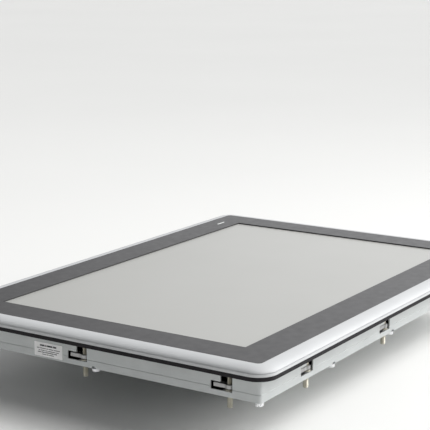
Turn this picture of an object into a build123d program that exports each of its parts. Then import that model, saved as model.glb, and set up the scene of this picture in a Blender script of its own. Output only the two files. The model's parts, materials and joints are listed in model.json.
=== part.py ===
"""Panel-mounted industrial touch panel with a 15.4 inch widescreen display.

The panel lies on its back: +Z is the way the screen faces, +X runs along the long
side and +Y towards the top edge.  The origin is the middle of the rear face of the
electronics housing.  Lengths are in millimetres.
"""

import os

from build123d import *

os.makedirs("parts", exist_ok=True)

# --- Front: frame, overlay and glass -----------------------------------------
front_width = 410.0
front_height = 290.0
window_width = 336.0
window_height = 214.0
overlay_width = 388.0
overlay_height = 268.0
overlay_corner = 3.5
overlay_thickness = 1.0
glass_width = 350.0
glass_height = 228.0
glass_thickness = 2.0
glass_gap = 0.3
frame_opening_width = 344.0
frame_opening_height = 222.0

# --- Depth: every level is a height above the rear face -----------------------
total_depth = 62.0
glass_top = total_depth - overlay_thickness
glass_bottom = glass_top - glass_thickness
frame_back = 55.8
seal_thickness = 3.0
cover_seam = 41.0
cover_bottom = 35.5

# --- Frame rim ------------------------------------------------------------------
rim_width = (front_width - overlay_width) / 2
rim_top = total_depth - 0.1
rim_shoulder = 58.4
rim_groove_height = 0.4
rim_groove_depth = 0.6

# --- Display module -----------------------------------------------------------------
lcd_width = 348.0
lcd_height = 226.0
lcd_back = 49.6
lcd_skin = 0.8
lcd_gap = 0.2
lcd_stack_width = lcd_width - 2 * (lcd_skin + lcd_gap)
lcd_stack_height = lcd_height - 2 * (lcd_skin + lcd_gap)
lcd_layers = {"lcd_back_plate": 0.8, "lcd_backlight": 3.0, "lcd_cell": 1.6}
bracket_width = 16.0
bracket_length = 180.0
bracket_x = 174.0
bracket_screw_x = 178.0
boss_radius = 3.0

# --- Housing ----------------------------------------------------------------------
housing_width = 391.0
housing_height = 271.0
housing_corner = 2.5
wall = 1.2
lip_inner_width = 370.0
lip_inner_height = 250.0
lip_bottom = frame_back - wall
seam_chamfer = 0.25
cover_floor_top = cover_bottom + wall
block_width = 5.0
block_top = cover_seam + 6.0
cover_opening_width = 180.0
cover_opening_height = 120.0

# --- Swivel clamps ----------------------------------------------------------------
clamp_inset = 3.5
clamp_x = housing_width / 2 - clamp_inset
clamp_y = housing_height / 2 - clamp_inset
clamp_screw_radius = 2.0
running_fit = 0.05
clamp_screw_bottom = 27.5
clamp_socket_radius = 1.2
clamp_socket_depth = 2.5
clamp_screw_top = frame_back - 0.3
collar_radius = 3.3
collar_bottom = 39.4
collar_height = 0.8
lever_bottom = 40.9
lever_thickness = 2.8
lever_reach = 11.8
lever_inner_side = 3.1
lever_outer_side = 2.1
lever_hub_radius = 3.2
slot_back_reach = 3.9
slot_upright_reach = 5.3
slot_reach = 13.0
slot_bottom = 39.2
slot_shelf = 45.1
slot_top = frame_back - seal_thickness + 0.2
window_cut = 2 * wall + 0.6
bearing_top = 39.3
bearing_half_width = 4.5
bearing_inner = 4.0
bearing_outer = 2.3

# --- Screws -------------------------------------------------------------------------
m3_radius = 1.45
m3_hole = 1.5
m3_clear = 1.65
m3_head_radius = 3.0
m3_head_height = 2.4
m3_socket_radius = 1.2
m3_socket_depth = 1.1
bracket_screw_reach = 5.5
frame_screw_reach = 4.8
cover_screw_reach = 8.5
pod_screw_reach = 4.5
cover_screw_inset = 2.7
cover_screw_x = housing_width / 2 - cover_screw_inset
cover_screw_y = housing_height / 2 - cover_screw_inset
cover_screw_pitch = 95.0

# --- Rear electronics housing ----------------------------------------------------------
pod_width = 210.0
pod_height = 156.0
pod_corner = 4.0
pod_wall = 1.5
pod_flange = 8.0
board_bottom = 22.0
board_thickness = 1.6
board_top = board_bottom + board_thickness
board_width = 190.0
board_height = 140.0
board_y = -4.0
socket_face = pod_height / 2 + 0.5
vent_width = 3.0
vent_length = 18.0
vent_pitch = 8.0
vent_z = 18.0
side_vent_count = 12
top_vent_count = 20

# --- Heatsink --------------------------------------------------------------------------
heatsink_y = 22.0
heatsink_base = 10.0
heatsink_plate = 3.0
heatsink_width = 104.0
heatsink_length = 84.0
heatsink_foot = 6.0
pedestal_width = 40.0
processor_width = 36.0
processor_bottom = 19.0
fin_tip = 0.6
fin_pitch = 7.0
fin_count = 12
fin_thickness = 1.6
fin_length = 66.0
fin_span = fin_pitch * (fin_count - 1) + fin_thickness

# --- Sockets in the electronics housing: centres measured along X and up from the rear ----
power_x = -76.0
power_z = 17.0
power_width = 17.0
power_height = 10.0
power_depth = 12.0
power_cavity = 9.0
power_pitch = 5.08
power_pin_radius = 0.6
power_pin_length = 3.5
network_xs = (-48.0, -29.0)
network_width = 16.0
network_height = 13.5
network_z = board_bottom - network_height / 2
network_depth = 21.0
network_cavity = 14.0
network_cavity_width = 11.8
network_cavity_height = 8.2
network_cavity_z = network_z - 0.6
network_latch_width = 4.0
network_latch_height = 1.6
network_latch_z = network_z - 5.0
usb_xs = (-8.0, 10.0)
usb_width = 14.2
usb_height = 7.0
usb_z = board_bottom - usb_height / 2
usb_depth = 15.0
usb_cavity = 11.0
usb_cavity_width = 12.6
usb_cavity_height = 5.2
usb_tongue_width = 11.2
usb_tongue_height = 1.8
serial_x = 38.0
serial_z = 15.75
serial_shell_width = 18.0
serial_shell_height = 9.4
serial_shell_reach = 4.0
serial_cavity = 6.0
serial_body_width = 31.0
serial_body_height = 12.5
serial_body_depth = 10.0
serial_pin_radius = 0.5
serial_pin_pitch = 2.77
serial_row_offset = 1.4
serial_post_radius = 2.4
serial_post_hole = 1.2
serial_post_sites = [(serial_x + side * 12.5, serial_z) for side in (-1, 1)]
reset_x = 64.0
reset_z = 16.0
reset_radius = 1.6
reset_length = 8.3
reset_flange_radius = 2.6
earth_x = -95.0
earth_z = 17.0
earth_radius = 2.0
earth_shank_radius = 1.65
earth_reach = 10.0
earth_free_length = 5.6
m4_hex_radius = 4.0
m4_nut_height = 3.2
washer_radius = 4.5
washer_thickness = 0.8
card_y = -8.0
card_z = 17.2
card_slot_width = 43.4
card_slot_height = 5.4
card_depth = 36.0
card_body_height = 9.5
card_body_depth = 41.0
door_axis_x = 107.3
door_axis_z = 8.6
door_barrel_radius = 1.9
door_pin_radius = 0.9
door_thickness = 1.9
door_top = 25.0
door_tab_width = 14.0
door_tab_reach = 1.6
ear_offset = 26.0
ear_width = 2.0
battery_x = -60.0
battery_y = 35.0
battery_radius = 12.0
battery_thickness = 5.0
holder_floor = 1.5
standoff_radius = 3.2
board_screw_reach = 8.0
switch_y = -66.5
switch_width = 6.0
switch_depth = 5.0
switch_height = 10.0
memory_x = -10.0
memory_y = 5.0
memory_pitch = 16.0
memory_width = 11.0
memory_height = 13.0
memory_thickness = 1.2
capacitor_x = -72.0
capacitor_y = -30.0
capacitor_pitch = 12.0
capacitor_radius = 4.0
capacitor_height = 9.0
driver_x = -135.0
driver_y = 60.0
driver_board_width = 72.0
driver_board_height = 20.0
driver_pad_radius = 2.5
driver_pad_height = 2.3
coil_pitch = 20.0
coil_width = 12.0
coil_height = 4.0

# --- Cables: flat films between connectors ----------------------------------------------
display_cable_width = 24.0
display_cable_thickness = 0.5
display_plug_width = 26.0
display_cable_x = 66.0
display_cable_y = 30.0
display_board_x = 54.0
display_plug_height = 3.0
board_plug_height = 5.0
plug_depth = 5.0
touch_cable_width = 12.0
touch_cable_thickness = 0.3
touch_plug_width = 14.0
touch_plug_height = 4.0
touch_cable_x = 60.0
touch_cable_y = -113.75
touch_board_y = -50.0
touch_cable_level = 43.0
touch_notch_y = -112.8
touch_notch_depth = 3.6

# --- Label and notches on the housing's sides ----------------------------------------------
label_y = 40.6
label_z = 41.95
label_width = 25.6
label_height = 10.3
label_thickness = 0.15
notch_width = 3.6
notch_height = 1.5


def clamp_plane(x, y, along):
    """Plane on a clamp's axis: X runs along the folded lever, Y points out of the housing."""
    return Plane(origin=(x, y, 0), x_dir=along, z_dir=(0, 0, 1))


clamp_planes = {}
for number, y in enumerate((-110.0, 10.0), start=1):
    clamp_planes[f"left_{number}"] = clamp_plane(-clamp_x, y, (0, 1, 0))
    clamp_planes[f"right_{number}"] = clamp_plane(clamp_x, -y, (0, -1, 0))
for number, x in enumerate((-129.5, -9.5, 110.5), start=1):
    clamp_planes[f"bottom_{number}"] = clamp_plane(x, -clamp_y, (-1, 0, 0))
    clamp_planes[f"top_{number}"] = clamp_plane(-x, clamp_y, (1, 0, 0))

cover_screw_sites = [(0, side * cover_screw_y) for side in (-1, 1)]
for x in (-1, 1):
    cover_screw_sites.append((x * cover_screw_x, 0))
    for y in (-1, 1):
        cover_screw_sites.append((x * cover_screw_x, y * cover_screw_y))
        cover_screw_sites.append((x * cover_screw_pitch, y * cover_screw_y))

notch_sites = [
    (x * cover_screw_pitch, y * housing_height / 2) for x in (-1, 0, 1) for y in (-1, 1)
]

frame_screw_x = window_width / 2 + 22.0
frame_screw_y = window_height / 2 + 22.0
frame_screw_sites = [(x * frame_screw_x, y * 62.0) for x in (-1, 1) for y in (-1, 1)]
for side in (-1, 1):
    for x in (-165.0, -60.0, 50.0, 165.0):
        frame_screw_sites.append((-side * x, side * frame_screw_y))

bracket_sites = [(side * bracket_screw_x, y) for side in (-1, 1) for y in (-75.0, 0.0, 75.0)]

pod_screw_sites = [(x * 109.0, y * 50.0) for x in (-1, 1) for y in (-1, 1)]
pod_screw_sites += [(x * 60.0, y * 82.0) for x in (-1, 1) for y in (-1, 1)]

board_screw_sites = [(x * 88.0, y) for x in (-1, 1) for y in (-52.0, 58.0)]

status_x = 157.8
status_y = 120.5
lens_width = 11.5
lens_height = 1.8
light_pipe_radius = 1.2


def pan_screw(sites, seat, reach):
    """Pan-head M3 screws at the sites, driven upwards: seat is the head's upper face."""
    with BuildPart() as screws:
        with BuildSketch(Plane.XY.offset(seat - m3_head_height)):
            with Locations(*sites):
                Circle(m3_head_radius)
        extrude(amount=m3_head_height)
        rims = screws.edges().filter_by(GeomType.CIRCLE).group_by(Axis.Z)[0]
        fillet(rims, radius=0.7)
        with BuildSketch(Plane.XY.offset(seat)):
            with Locations(*sites):
                Circle(m3_radius)
        extrude(amount=reach)
        with BuildSketch(Plane.XY.offset(seat - m3_head_height)):
            with Locations(*sites):
                RegularPolygon(radius=m3_socket_radius, side_count=6)
        extrude(amount=m3_socket_depth, mode=Mode.SUBTRACT)
    return screws.part


# ================================ Front ========================================

with BuildSketch() as rim_outline:
    RectangleRounded(overlay_width, overlay_height, overlay_corner)
rim_path = rim_outline.face().outer_wire()
rim_outward = (rim_path % 0).cross(Vector(0, 0, 1))

with BuildPart() as front_frame:
    with BuildSketch(Plane.XY.offset(frame_back)):
        RectangleRounded(overlay_width, overlay_height, overlay_corner)
        Rectangle(frame_opening_width, frame_opening_height, mode=Mode.SUBTRACT)
    extrude(amount=glass_top - frame_back)
    # Rim: a convex crown, a thin parting groove and a short upright band.
    rim_section = Plane(origin=rim_path @ 0, x_dir=rim_outward, z_dir=-(rim_path % 0))
    groove_bottom = rim_shoulder - rim_groove_height
    with BuildSketch(rim_section):
        with BuildLine():
            EllipticalCenterArc((0, rim_shoulder), rim_width, rim_top - rim_shoulder, arc_size=90)
            Polyline(
                (0, rim_top),
                (0, frame_back),
                (rim_width - 0.3, frame_back),
                (rim_width, frame_back + 0.3),
                (rim_width, groove_bottom),
                (rim_width - rim_groove_depth, groove_bottom),
                (rim_width - rim_groove_depth, rim_shoulder),
                (rim_width, rim_shoulder),
            )
        make_face()
    sweep(path=rim_path)
    # Seat for the glass, and a notch in its shelf for the touch cable.
    with BuildSketch(Plane.XY.offset(glass_bottom)):
        Rectangle(glass_width + 2 * glass_gap, glass_height + 2 * glass_gap)
    extrude(amount=glass_thickness, mode=Mode.SUBTRACT)
    with BuildSketch(Plane.XY.offset(frame_back)):
        with Locations((touch_cable_x, touch_notch_y)):
            Rectangle(touch_plug_width, touch_notch_depth)
    extrude(amount=glass_bottom - frame_back, mode=Mode.SUBTRACT)
    # Bosses that carry the display brackets.
    with BuildSketch(Plane.XY.offset(lcd_back)):
        with Locations(*bracket_sites):
            Circle(boss_radius)
    extrude(amount=frame_back - lcd_back)
    with BuildSketch(Plane.XY.offset(lcd_back)):
        with Locations(*bracket_sites):
            Circle(m3_hole)
    extrude(amount=bracket_screw_reach - wall + 0.7, mode=Mode.SUBTRACT)
    with BuildSketch(Plane.XY.offset(frame_back)):
        with Locations(*frame_screw_sites):
            Circle(m3_hole)
    extrude(amount=frame_screw_reach - wall + 0.4, mode=Mode.SUBTRACT)
    # Way through for the status light.
    with BuildSketch(Plane.XY.offset(frame_back)):
        with Locations((status_x, status_y)):
            Circle(light_pipe_radius + 0.1)
    extrude(amount=total_depth - frame_back, mode=Mode.SUBTRACT)
front_frame.part.label = "front_frame"
export_step(front_frame.part, "parts/front_frame.step")

with BuildPart() as border_overlay:
    with BuildSketch(Plane.XY.offset(glass_top)):
        RectangleRounded(overlay_width, overlay_height, overlay_corner)
        Rectangle(window_width, window_height, mode=Mode.SUBTRACT)
        with Locations((status_x, status_y)):
            Rectangle(lens_width, lens_height, mode=Mode.SUBTRACT)
    extrude(amount=overlay_thickness)
border_overlay.part.label = "border_overlay"
export_step(border_overlay.part, "parts/border_overlay.step")

with BuildPart() as touch_glass:
    with BuildSketch(Plane.XY.offset(glass_bottom)):
        Rectangle(glass_width, glass_height)
    extrude(amount=glass_thickness)
touch_glass.part.label = "touch_glass"
export_step(touch_glass.part, "parts/touch_glass.step")

with BuildPart() as status_lens:
    with BuildSketch(Plane.XY.offset(glass_top)):
        with Locations((status_x, status_y)):
            Rectangle(lens_width, lens_height)
    extrude(amount=overlay_thickness)
    with BuildSketch(Plane.XY.offset(frame_back)):
        with Locations((status_x, status_y)):
            Circle(light_pipe_radius)
    extrude(amount=glass_top - frame_back)
status_lens.part.label = "status_lens"
export_step(status_lens.part, "parts/status_lens.step")

with BuildPart() as led_board:
    with BuildSketch(Plane.XY.offset(frame_back - 1.2)):
        with Locations((status_x, 118.0)):
            Rectangle(16.0, 8.0)
    extrude(amount=1.2)
led_board.part.label = "led_board"
export_step(led_board.part, "parts/led_board.step")

with BuildPart() as panel_seal:
    with BuildSketch(Plane.XY.offset(frame_back - seal_thickness)):
        RectangleRounded(front_width - 1.0, front_height - 1.0, overlay_corner + rim_width - 0.5)
        RectangleRounded(
            housing_width + 0.6, housing_height + 0.6, housing_corner, mode=Mode.SUBTRACT
        )
    extrude(amount=seal_thickness)
panel_seal.part.label = "panel_seal"
export_step(panel_seal.part, "parts/panel_seal.step")

# ================================ Display module ================================

with BuildPart() as display_gasket:
    with BuildSketch(Plane.XY.offset(frame_back)):
        Rectangle(frame_opening_width - 0.4, frame_opening_height - 0.4)
        Rectangle(window_width + 2.0, window_height + 2.0, mode=Mode.SUBTRACT)
    extrude(amount=glass_bottom - frame_back)
display_gasket.part.label = "display_gasket"
export_step(display_gasket.part, "parts/display_gasket.step")

with BuildPart() as lcd_bezel:
    with BuildSketch(Plane.XY.offset(lcd_back)):
        Rectangle(lcd_width, lcd_height)
    extrude(amount=frame_back - lcd_back)
    with BuildSketch(Plane.XY.offset(lcd_back)):
        Rectangle(lcd_width - 2 * lcd_skin, lcd_height - 2 * lcd_skin)
    extrude(amount=frame_back - lcd_back - lcd_skin, mode=Mode.SUBTRACT)
    with BuildSketch(Plane.XY.offset(lcd_back)):
        Rectangle(window_width + 2.0, window_height)
    extrude(amount=frame_back - lcd_back, mode=Mode.SUBTRACT)
lcd_bezel.part.label = "lcd_bezel"
export_step(lcd_bezel.part, "parts/lcd_bezel.step")

layer_bottom = lcd_back
for layer_name, layer_thickness in lcd_layers.items():
    with BuildPart() as lcd_layer:
        with BuildSketch(Plane.XY.offset(layer_bottom)):
            Rectangle(lcd_stack_width, lcd_stack_height)
        extrude(amount=layer_thickness)
    lcd_layer.part.label = layer_name
    export_step(lcd_layer.part, f"parts/{layer_name}.step")
    layer_bottom += layer_thickness

with BuildPart() as display_brackets:
    with BuildSketch(Plane.XY.offset(lcd_back - wall)):
        with Locations((-bracket_x, 0), (bracket_x, 0)):
            Rectangle(bracket_width, bracket_length)
        with Locations(*bracket_sites):
            Circle(m3_clear, mode=Mode.SUBTRACT)
    extrude(amount=wall)
display_brackets.part.label = "display_brackets"
export_step(display_brackets.part, "parts/display_brackets.step")

bracket_screws = pan_screw(bracket_sites, lcd_back - wall, bracket_screw_reach)
bracket_screws.label = "bracket_screws"
export_step(bracket_screws, "parts/bracket_screws.step")

# ================================ Housing ==========================================

clamp_axes = [(plane.origin.X, plane.origin.Y) for plane in clamp_planes.values()]


def window_sketch_planes(height):
    """The ten clamp planes, raised to a height."""
    return [plane.offset(height) for plane in clamp_planes.values()]


with BuildPart() as housing_wall:
    with BuildSketch(Plane.XY.offset(cover_seam)):
        RectangleRounded(housing_width, housing_height, housing_corner)
        Rectangle(housing_width - 2 * wall, housing_height - 2 * wall, mode=Mode.SUBTRACT)
    extrude(amount=frame_back - cover_seam)
    outer_seam = housing_wall.faces().sort_by(Axis.Z)[0].outer_wire().edges()
    chamfer(outer_seam, length=seam_chamfer)
    # Inner lip that bolts to the frame and guides the clamp screws.
    with BuildSketch(Plane.XY.offset(lip_bottom)):
        Rectangle(housing_width - wall, housing_height - wall)
        Rectangle(lip_inner_width, lip_inner_height, mode=Mode.SUBTRACT)
        with Locations(*frame_screw_sites):
            Circle(m3_clear, mode=Mode.SUBTRACT)
        with Locations(*clamp_axes):
            Circle(clamp_screw_radius + running_fit, mode=Mode.SUBTRACT)
    extrude(amount=frame_back - lip_bottom)
    # Tapped blocks for the rear cover's screws: free below the seam, joined above it.
    with BuildSketch(Plane.XY.offset(cover_floor_top)):
        with Locations(*cover_screw_sites):
            Rectangle(block_width, block_width)
        Rectangle(
            housing_width - 2 * wall - 0.1, housing_height - 2 * wall - 0.1, mode=Mode.INTERSECT
        )
    extrude(amount=cover_seam + 1.0 - cover_floor_top)
    with BuildSketch(Plane.XY.offset(cover_seam + 1.0)):
        with Locations(*cover_screw_sites):
            Rectangle(block_width, block_width)
        Rectangle(housing_width - wall, housing_height - wall, mode=Mode.INTERSECT)
    extrude(amount=block_top - cover_seam - 1.0)
    with BuildSketch(Plane.XY.offset(cover_floor_top)):
        with Locations(*cover_screw_sites):
            Circle(m3_hole)
    extrude(amount=cover_screw_reach + 0.5, mode=Mode.SUBTRACT)
    # L-shaped clamp windows.
    with BuildSketch(*window_sketch_planes(cover_seam)):
        with Locations(((slot_reach - slot_back_reach) / 2, clamp_inset)):
            Rectangle(slot_reach + slot_back_reach, window_cut)
    extrude(amount=slot_shelf - cover_seam, mode=Mode.SUBTRACT)
    with BuildSketch(*window_sketch_planes(slot_shelf)):
        with Locations(((slot_upright_reach - slot_back_reach) / 2, clamp_inset)):
            Rectangle(slot_upright_reach + slot_back_reach, window_cut)
    extrude(amount=slot_top - slot_shelf, mode=Mode.SUBTRACT)
housing_wall.part.label = "housing_wall"
export_step(housing_wall.part, "parts/housing_wall.step")

frame_screws = pan_screw(frame_screw_sites, lip_bottom, frame_screw_reach)
frame_screws.label = "frame_screws"
export_step(frame_screws, "parts/frame_screws.step")

with BuildPart() as rear_cover:
    with BuildSketch(Plane.XY.offset(cover_bottom)):
        RectangleRounded(housing_width, housing_height, housing_corner)
    extrude(amount=cover_seam - cover_bottom)
    outer_seam = rear_cover.faces().sort_by(Axis.Z)[-1].outer_wire().edges()
    chamfer(outer_seam, length=seam_chamfer)
    with BuildSketch(Plane.XY.offset(cover_floor_top)):
        Rectangle(housing_width - 2 * wall, housing_height - 2 * wall)
    extrude(amount=cover_seam - cover_floor_top, mode=Mode.SUBTRACT)
    with BuildSketch(Plane.XY.offset(cover_bottom)):
        RectangleRounded(cover_opening_width, cover_opening_height, 5.0)
        with Locations(*clamp_axes):
            Circle(clamp_screw_radius + 0.3)
        with Locations(*cover_screw_sites):
            Circle(m3_clear)
        with Locations(*pod_screw_sites):
            Circle(m3_hole)
    extrude(amount=wall, mode=Mode.SUBTRACT)
    # Lower part of the clamp windows.
    with BuildSketch(*window_sketch_planes(slot_bottom)):
        with Locations(((slot_reach - slot_back_reach) / 2, clamp_inset)):
            Rectangle(slot_reach + slot_back_reach, window_cut)
    extrude(amount=cover_seam - slot_bottom, mode=Mode.SUBTRACT)
    # A notch in the bottom edge beside each cover screw along the sides.
    with BuildSketch(Plane.XY.offset(cover_bottom)):
        with Locations(*notch_sites):
            Rectangle(notch_width, window_cut)
        with Locations((-housing_width / 2, 0), (housing_width / 2, 0)):
            Rectangle(window_cut, notch_width)
    extrude(amount=notch_height, mode=Mode.SUBTRACT)
rear_cover.part.label = "rear_cover"
export_step(rear_cover.part, "parts/rear_cover.step")

cover_screws = pan_screw(cover_screw_sites, cover_bottom, cover_screw_reach)
cover_screws.label = "cover_screws"
export_step(cover_screws, "parts/cover_screws.step")

with BuildPart() as type_label:
    with BuildSketch(Plane.YZ.offset(-housing_width / 2)):
        with Locations((label_y, label_z)):
            RectangleRounded(label_width, label_height, 0.6)
    extrude(amount=-label_thickness)
type_label.part.label = "type_label"
export_step(type_label.part, "parts/type_label.step")

# ================================ Swivel clamps ====================================

with BuildPart() as clamp_bearings:
    with BuildSketch(*window_sketch_planes(cover_floor_top)):
        with Locations((0, (bearing_outer - bearing_inner) / 2)):
            Rectangle(2 * bearing_half_width, bearing_outer + bearing_inner)
        Circle(clamp_screw_radius + running_fit, mode=Mode.SUBTRACT)
    extrude(amount=bearing_top - cover_floor_top)
clamp_bearings.part.label = "clamp_bearings"
export_step(clamp_bearings.part, "parts/clamp_bearings.step")

for station, plane in clamp_planes.items():
    with BuildPart() as clamp_screw:
        with BuildSketch(plane.offset(clamp_screw_bottom)):
            Circle(clamp_screw_radius)
        extrude(amount=clamp_screw_top - clamp_screw_bottom)
        with BuildSketch(plane.offset(collar_bottom)):
            Circle(collar_radius)
        extrude(amount=collar_height)
        ends = clamp_screw.edges().filter_by(GeomType.CIRCLE).sort_by(Axis.Z)
        chamfer([ends[0], ends[-1]], length=0.35)
        with BuildSketch(plane.offset(clamp_screw_bottom)):
            RegularPolygon(radius=clamp_socket_radius, side_count=6)
        extrude(amount=clamp_socket_depth, mode=Mode.SUBTRACT)
    clamp_screw.part.label = f"clamp_screw_{station}"
    export_step(clamp_screw.part, f"parts/clamp_screw_{station}.step")

    with BuildPart() as clamp_lever:
        with BuildSketch(plane.offset(lever_bottom)):
            with Locations((lever_reach / 2, (lever_outer_side - lever_inner_side) / 2)):
                Rectangle(lever_reach, lever_outer_side + lever_inner_side)
            Circle(lever_reach, mode=Mode.INTERSECT)
            Circle(lever_hub_radius)
        extrude(amount=lever_thickness)
        crown = clamp_lever.faces().sort_by(Axis.Z)[-1].edges()
        chamfer(crown, length=0.3)
        with BuildSketch(plane.offset(lever_bottom)):
            Circle(clamp_screw_radius + running_fit)
        extrude(amount=lever_thickness, mode=Mode.SUBTRACT)
    clamp_lever.part.label = f"clamp_lever_{station}"
    export_step(clamp_lever.part, f"parts/clamp_lever_{station}.step")

# ================================ Electronics housing ================================

with BuildPart() as electronics_housing:
    with BuildSketch():
        RectangleRounded(pod_width, pod_height, pod_corner)
    extrude(amount=cover_bottom)
    foot = electronics_housing.edges().group_by(Axis.Z)[0]
    chamfer(foot, length=1.0)
    with BuildSketch(Plane.XY.offset(cover_bottom - pod_wall)):
        RectangleRounded(pod_width + 2 * pod_flange, pod_height + 2 * pod_flange, 6.0)
    extrude(amount=pod_wall)
    with BuildSketch(Plane.XY.offset(pod_wall)):
        RectangleRounded(pod_width - 2 * pod_wall, pod_height - 2 * pod_wall, pod_corner - pod_wall)
    extrude(amount=cover_bottom - pod_wall, mode=Mode.SUBTRACT)
    with BuildSketch(Plane.XY.offset(cover_bottom - pod_wall)):
        with Locations(*pod_screw_sites):
            Circle(m3_clear)
    extrude(amount=pod_wall, mode=Mode.SUBTRACT)
    # Opening in the rear face for the heatsink's fins.
    with BuildSketch():
        with Locations((0, heatsink_y)):
            RectangleRounded(fin_span + 6.0, fin_length + 4.0, 3.0)
    extrude(amount=pod_wall, mode=Mode.SUBTRACT)
    # Vent slots: the left side and the top side.
    with BuildSketch(Plane.YZ.offset(-pod_width / 2)):
        with Locations((0, vent_z)):
            with GridLocations(vent_pitch, 0, side_vent_count, 1):
                SlotOverall(vent_length, vent_width, rotation=90)
    extrude(amount=pod_wall, mode=Mode.SUBTRACT)
    with BuildSketch(Plane.XZ.offset(-pod_height / 2)):
        with Locations((0, vent_z)):
            with GridLocations(vent_pitch, 0, top_vent_count, 1):
                SlotOverall(vent_length, vent_width, rotation=90)
    extrude(amount=pod_wall, mode=Mode.SUBTRACT)
    # Socket openings in the bottom side.
    with BuildSketch(Plane.XZ.offset(pod_height / 2)):
        with Locations((power_x, power_z)):
            Rectangle(power_width + 0.4, power_height + 0.4)
        with Locations(*[(x, network_z) for x in network_xs]):
            Rectangle(network_width + 0.4, network_height + 0.4)
        with Locations(*[(x, usb_z) for x in usb_xs]):
            Rectangle(usb_width + 0.4, usb_height + 0.4)
        with Locations((serial_x, serial_z)):
            RectangleRounded(serial_shell_width + 0.6, serial_shell_height + 0.6, 2.0)
        with Locations(*serial_post_sites):
            Circle(serial_post_radius + 0.2)
        with Locations((reset_x, reset_z)):
            Circle(reset_radius + running_fit)
        with Locations((earth_x, earth_z)):
            Circle(earth_shank_radius + running_fit)
    extrude(amount=-pod_wall, mode=Mode.SUBTRACT)
    # Card slot opening and the ears that carry its door, on the right side.
    with BuildSketch(Plane.YZ.offset(pod_width / 2)):
        with Locations((card_y, card_z)):
            Rectangle(card_slot_width + 1.0, card_slot_height + 1.0)
    extrude(amount=-pod_wall, mode=Mode.SUBTRACT)
    ear_planes = [Plane.XZ.offset(-y) for y in (card_y - ear_offset - ear_width, card_y + ear_offset)]
    with BuildSketch(*ear_planes):
        with Locations((door_axis_x, door_axis_z)):
            Circle(door_barrel_radius)
        with Locations(((door_axis_x + pod_width / 2) / 2 - 0.25, door_axis_z)):
            Rectangle(door_axis_x - pod_width / 2 + 0.5, 2 * door_barrel_radius)
        with Locations((door_axis_x, door_axis_z)):
            Circle(door_pin_radius + running_fit, mode=Mode.SUBTRACT)
    extrude(amount=-ear_width)
electronics_housing.part.label = "electronics_housing"
export_step(electronics_housing.part, "parts/electronics_housing.step")

pod_screws = pan_screw(pod_screw_sites, cover_bottom - pod_wall, pod_screw_reach)
pod_screws.label = "pod_screws"
export_step(pod_screws, "parts/pod_screws.step")

# ================================ Electronics ========================================

with BuildPart() as main_board:
    with BuildSketch(Plane.XY.offset(board_bottom)):
        with Locations((0, board_y)):
            Rectangle(board_width, board_height)
        with Locations(*board_screw_sites):
            Circle(m3_clear, mode=Mode.SUBTRACT)
    extrude(amount=board_thickness)
    # Reset switch, memory packages and capacitors.
    with BuildSketch(Plane.XY.offset(board_bottom - switch_height)):
        with Locations((reset_x, switch_y)):
            Rectangle(switch_width, switch_depth)
    extrude(amount=switch_height)
    with BuildSketch(Plane.XY.offset(board_top)):
        with Locations((memory_x, memory_y)):
            with GridLocations(memory_pitch, 0, 4, 1):
                Rectangle(memory_width, memory_height)
    extrude(amount=memory_thickness)
    with BuildSketch(Plane.XY.offset(board_top)):
        with Locations((capacitor_x, capacitor_y)):
            with GridLocations(capacitor_pitch, capacitor_pitch, 2, 3):
                Circle(capacitor_radius)
    extrude(amount=capacitor_height)
main_board.part.label = "main_board"
export_step(main_board.part, "parts/main_board.step")

with BuildPart() as board_standoffs:
    with BuildSketch(Plane.XY.offset(pod_wall)):
        with Locations(*board_screw_sites):
            RegularPolygon(radius=standoff_radius, side_count=6)
    extrude(amount=board_bottom - pod_wall)
    with BuildSketch(Plane.XY.offset(board_bottom)):
        with Locations(*board_screw_sites):
            Circle(m3_hole)
    extrude(amount=-board_screw_reach, mode=Mode.SUBTRACT)
board_standoffs.part.label = "board_standoffs"
export_step(board_standoffs.part, "parts/board_standoffs.step")

with BuildPart() as board_screws:
    with BuildSketch(Plane.XY.offset(board_top)):
        with Locations(*board_screw_sites):
            Circle(m3_head_radius)
    extrude(amount=m3_head_height)
    with BuildSketch(Plane.XY.offset(board_top)):
        with Locations(*board_screw_sites):
            Circle(m3_radius)
    extrude(amount=0.6 - board_screw_reach)
board_screws.part.label = "board_screws"
export_step(board_screws.part, "parts/board_screws.step")

with BuildPart() as processor:
    with BuildSketch(Plane.XY.offset(processor_bottom)):
        with Locations((0, heatsink_y)):
            Rectangle(processor_width, processor_width)
    extrude(amount=board_bottom - processor_bottom)
processor.part.label = "processor"
export_step(processor.part, "parts/processor.step")

with BuildPart() as heatsink:
    with BuildSketch(Plane.XY.offset(heatsink_base)):
        with Locations((0, heatsink_y)):
            Rectangle(heatsink_width, heatsink_length)
    extrude(amount=heatsink_plate)
    with BuildSketch(Plane.XY.offset(heatsink_base + heatsink_plate)):
        with Locations((0, heatsink_y)):
            Rectangle(pedestal_width, pedestal_width)
    extrude(amount=processor_bottom - heatsink_base - heatsink_plate)
    with BuildSketch(Plane.XY.offset(fin_tip)):
        with Locations((0, heatsink_y)):
            with GridLocations(fin_pitch, 0, fin_count, 1):
                Rectangle(fin_thickness, fin_length)
    extrude(amount=heatsink_base - fin_tip)
    with BuildSketch(Plane.XY.offset(pod_wall)):
        with Locations((0, heatsink_y)):
            with GridLocations(heatsink_width - 7.0, heatsink_length - 7.0, 2, 2):
                Rectangle(heatsink_foot, heatsink_foot)
    extrude(amount=heatsink_base - pod_wall)
heatsink.part.label = "heatsink"
export_step(heatsink.part, "parts/heatsink.step")

socket_plane = Plane.XZ.offset(socket_face)

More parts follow.
